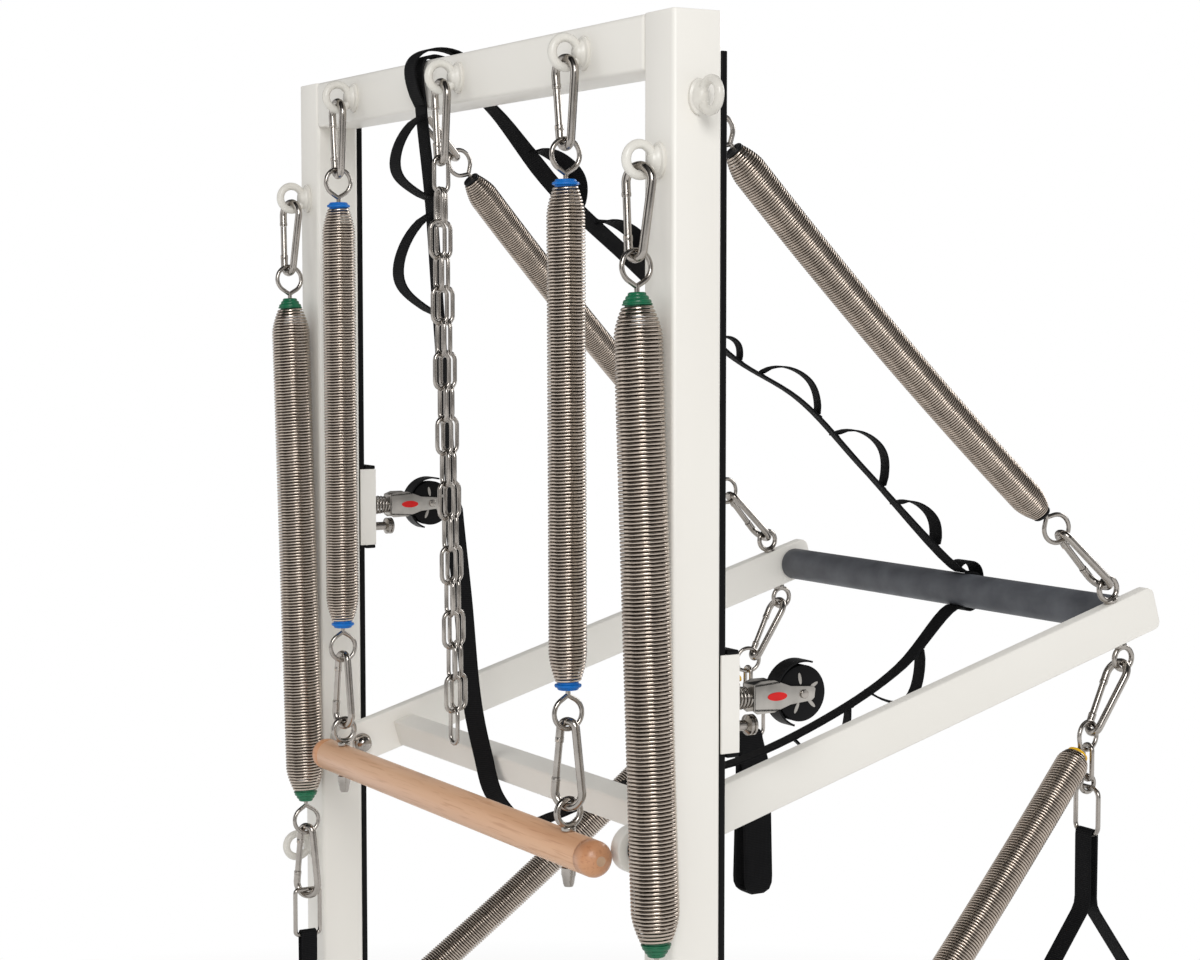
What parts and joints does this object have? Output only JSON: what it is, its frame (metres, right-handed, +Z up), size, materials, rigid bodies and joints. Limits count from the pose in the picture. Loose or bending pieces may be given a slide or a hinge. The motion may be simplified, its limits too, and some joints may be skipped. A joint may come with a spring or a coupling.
{
  "type": "pilates spring tower",
  "caption": "Pilates tower: steel portal with push-through bar, roll-down bar, long tension springs on snap hooks, hanging chain, webbing strap and sliding pulley carriages.",
  "frame": {"origin": "on the floor, midway between the two uprights, in the plane of their front faces", "axes": "+X to the right seen from the front, +Y to the back (towards the push-through bar), +Z up"},
  "size_m": [0.9373, 0.6971, 1.8633],
  "materials": {
    "frame_paint": "warm white satin powder coat",
    "bar_paint": "warm white satin powder coat on aluminium",
    "track_black": "black matt track insert",
    "spring_steel": "stainless spring wire",
    "fitting_steel": "bright stainless fittings",
    "foam": "dark grey-blue foam grip",
    "beech": "oiled light beech",
    "webbing": "black webbing",
    "black_plastic": "black moulded wheel",
    "satin_steel": "satin pressed steel"
  },
  "bodies": {
    "tower": {"left_upright": "frame_paint", "right_upright": "frame_paint", "top_beam": "frame_paint", "left_track": "track_black", "right_track": "track_black", "left_pivot_bolt": "fitting_steel", "right_pivot_bolt": "fitting_steel", "daisy_chain_strap": "webbing"},
    "push_bar": {"push_bar_frame": "bar_paint", "grip_pad": "foam", "left_bar_eye_bolt": "fitting_steel", "right_bar_eye_bolt": "fitting_steel"},
    "roll_down_springs": {"left_blue_upper_hook": "fitting_steel", "right_blue_upper_hook": "fitting_steel", "left_blue_spring": "spring_steel", "right_blue_spring": "spring_steel"},
    "roll_down": {"left_blue_lower_hook": "fitting_steel", "right_blue_lower_hook": "fitting_steel", "left_roll_bar_eye_bolt": "fitting_steel", "right_roll_bar_eye_bolt": "fitting_steel", "roll_down_bar": "beech"},
    "hanging_chain": {"chain_hook": "fitting_steel", "chain": "fitting_steel"},
    "left_black_link": {"left_black_upper_hook": "fitting_steel", "left_black_spring": "spring_steel"},
    "left_black_foot": {"left_black_lower_hook": "fitting_steel"},
    "left_yellow_link": {"left_yellow_lower_hook": "fitting_steel", "left_yellow_spring": "spring_steel"},
    "left_yellow_end": {"left_yellow_upper_hook": "fitting_steel"},
    "left_handle_hanger": {"left_handle_link": "fitting_steel", "left_handle_shackle": "fitting_steel", "left_foot_loop": "webbing"},
    "left_green_hanger": {"left_green_upper_hook": "fitting_steel", "left_green_spring": "spring_steel"},
    "left_green_pull": {"left_green_lower_hook": "fitting_steel", "left_green_ring": "fitting_steel", "left_green_handle": "webbing"},
    "left_slider": {"left_carriage": "bar_paint"},
    "left_pin": {"left_pull_pin": "fitting_steel"},
    "left_fork": {"left_pulley_fork": "satin_steel"},
    "left_sheave": {"left_pulley_wheel": "black_plastic"},
    "right_black_link": {"right_black_upper_hook": "fitting_steel", "right_black_spring": "spring_steel"},
    "right_black_foot": {"right_black_lower_hook": "fitting_steel"},
    "right_yellow_link": {"right_yellow_lower_hook": "fitting_steel", "right_yellow_spring": "spring_steel"},
    "right_yellow_end": {"right_yellow_upper_hook": "fitting_steel"},
    "right_handle_hanger": {"right_handle_link": "fitting_steel", "right_handle_shackle": "fitting_steel", "right_handle": "webbing"},
    "right_green_hanger": {"right_green_upper_hook": "fitting_steel", "right_green_spring": "spring_steel"},
    "right_green_pull": {"right_green_lower_hook": "fitting_steel", "right_green_ring": "fitting_steel", "right_green_handle": "webbing"},
    "right_slider": {"right_carriage": "bar_paint"},
    "right_pin": {"right_pull_pin": "fitting_steel"},
    "right_fork": {"right_pulley_fork": "satin_steel"},
    "right_sheave": {"right_pulley_wheel": "black_plastic"}
  },
  "joints": [
    {"name": "push_bar_swing", "type": "hinge", "parent": "tower", "child": "push_bar", "pos_m": [0, 0.02492, 1.10191], "axis": [1, 0, 0], "range_deg": [-15, 10], "stiffness_Nm_per_rad": 300, "springref_deg": 3.15, "deforming": ["daisy_chain_strap"]},
    {"name": "left_black_swing", "type": "hinge", "parent": "tower", "child": "left_black_link", "pos_m": [-0.265, 0.0705, 1.825], "axis": [1, 0, 0], "range_deg": [-5.76, 4.01]},
    {"name": "left_black_stretch", "type": "slide", "parent": "left_black_link", "child": "left_black_foot", "axis": [0, 0.7036, -0.7106], "range_m": [-0.0962, 0.1434], "deforming": ["left_black_spring"]},
    {"name": "left_yellow_swing", "type": "hinge", "parent": "tower", "child": "left_yellow_link", "pos_m": [-0.4305, 0.025, 0.6895], "axis": [1, 0, 0], "range_deg": [-10.22, 6.98]},
    {"name": "left_yellow_stretch", "type": "slide", "parent": "left_yellow_link", "child": "left_yellow_end", "axis": [0, 0.7294, 0.6841], "range_m": [-0.0808, 0.0545], "deforming": ["left_yellow_spring"]},
    {"name": "left_handle_swing", "type": "hinge", "parent": "left_yellow_end", "child": "left_handle_hanger", "pos_m": [-0.313, 0.5573, 1.1483], "axis": [1, 0, 0], "range_deg": [-40, 40]},
    {"name": "left_green_swing", "type": "hinge", "parent": "tower", "child": "left_green_hanger", "pos_m": [-0.388, -0.0205, 1.721], "axis": [1, 0, 0], "range_deg": [-40, 0]},
    {"name": "left_green_stretch", "type": "slide", "parent": "left_green_hanger", "child": "left_green_pull", "axis": [0.0584, 0, -0.9983], "range_m": [0, 0.25], "stiffness_N_per_m": 700, "springref_m": -0.03, "deforming": ["left_green_spring"]},
    {"name": "left_carriage_slide", "type": "slide", "parent": "tower", "child": "left_slider", "axis": [0, 0, 1], "range_m": [-0.45, 0.33]},
    {"name": "left_pin_pull", "type": "slide", "parent": "left_slider", "child": "left_pin", "axis": [0, 1, 0], "range_m": [0, 0.008], "stiffness_N_per_m": 900, "springref_m": -0.003},
    {"name": "left_fork_swivel", "type": "hinge", "parent": "left_slider", "child": "left_fork", "pos_m": [-0.385, 0.07, 1.366], "axis": [0, 1, 0], "range_deg": [-90, 90]},
    {"name": "left_wheel_spin", "type": "hinge", "parent": "left_fork", "child": "left_sheave", "pos_m": [-0.385, 0.1501, 1.366], "axis": [1, 0, 0], "continuous": true},
    {"name": "right_black_swing", "type": "hinge", "parent": "tower", "child": "right_black_link", "pos_m": [0.265, 0.0705, 1.825], "axis": [1, 0, 0], "range_deg": [-5.76, 4.01]},
    {"name": "right_black_stretch", "type": "slide", "parent": "right_black_link", "child": "right_black_foot", "axis": [0, 0.7036, -0.7106], "range_m": [-0.0962, 0.1434], "deforming": ["right_black_spring"]},
    {"name": "right_yellow_swing", "type": "hinge", "parent": "tower", "child": "right_yellow_link", "pos_m": [0.4305, 0.025, 0.6895], "axis": [1, 0, 0], "range_deg": [-10.22, 6.98]},
    {"name": "right_yellow_stretch", "type": "slide", "parent": "right_yellow_link", "child": "right_yellow_end", "axis": [0, 0.7294, 0.6841], "range_m": [-0.0808, 0.0545], "deforming": ["right_yellow_spring"]},
    {"name": "right_handle_swing", "type": "hinge", "parent": "right_yellow_end", "child": "right_handle_hanger", "pos_m": [0.313, 0.5573, 1.1483], "axis": [1, 0, 0], "range_deg": [-40, 40]},
    {"name": "right_green_swing", "type": "hinge", "parent": "tower", "child": "right_green_hanger", "pos_m": [0.388, -0.0205, 1.721], "axis": [1, 0, 0], "range_deg": [-40, 0]},
    {"name": "right_green_stretch", "type": "slide", "parent": "right_green_hanger", "child": "right_green_pull", "axis": [0.0584, 0, -0.9983], "range_m": [0, 0.25], "stiffness_N_per_m": 700, "springref_m": -0.03, "deforming": ["right_green_spring"]},
    {"name": "right_carriage_slide", "type": "slide", "parent": "tower", "child": "right_slider", "axis": [0, 0, 1], "range_m": [-0.33, 0.45]},
    {"name": "right_pin_pull", "type": "slide", "parent": "right_slider", "child": "right_pin", "axis": [0, 1, 0], "range_m": [0, 0.008], "stiffness_N_per_m": 900, "springref_m": -0.003},
    {"name": "right_fork_swivel", "type": "hinge", "parent": "right_slider", "child": "right_fork", "pos_m": [0.385, 0.07, 1.244], "axis": [0, 1, 0], "range_deg": [-90, 90]},
    {"name": "right_wheel_spin", "type": "hinge", "parent": "right_fork", "child": "right_sheave", "pos_m": [0.385, 0.1501, 1.244], "axis": [1, 0, 0], "continuous": true},
    {"name": "roll_down_swing", "type": "hinge", "parent": "tower", "child": "roll_down_springs", "pos_m": [0, -0.0205, 1.825], "axis": [1, 0, 0], "range_deg": [-45, 0]},
    {"name": "roll_down_stretch", "type": "slide", "parent": "roll_down_springs", "child": "roll_down", "axis": [0, 0, -1], "range_m": [0, 0.3], "stiffness_N_per_m": 500, "springref_m": -0.04, "deforming": ["left_blue_spring", "right_blue_spring"]},
    {"name": "chain_swing", "type": "hinge", "parent": "tower", "child": "hanging_chain", "pos_m": [0, -0.0205, 1.825], "axis": [1, 0, 0], "range_deg": [-30, 3]}
  ],
  "couplings": [
    {"joint": "left_black_swing", "follows": "push_bar_swing", "ratio": 0.351},
    {"joint": "left_black_stretch", "follows": "push_bar_swing", "m_per_rad": -0.54},
    {"joint": "left_yellow_swing", "follows": "push_bar_swing", "ratio": 0.648},
    {"joint": "left_yellow_stretch", "follows": "push_bar_swing", "m_per_rad": 0.301},
    {"joint": "right_black_swing", "follows": "push_bar_swing", "ratio": 0.351},
    {"joint": "right_black_stretch", "follows": "push_bar_swing", "m_per_rad": -0.54},
    {"joint": "right_yellow_swing", "follows": "push_bar_swing", "ratio": 0.648},
    {"joint": "right_yellow_stretch", "follows": "push_bar_swing", "m_per_rad": 0.301}
  ]
}
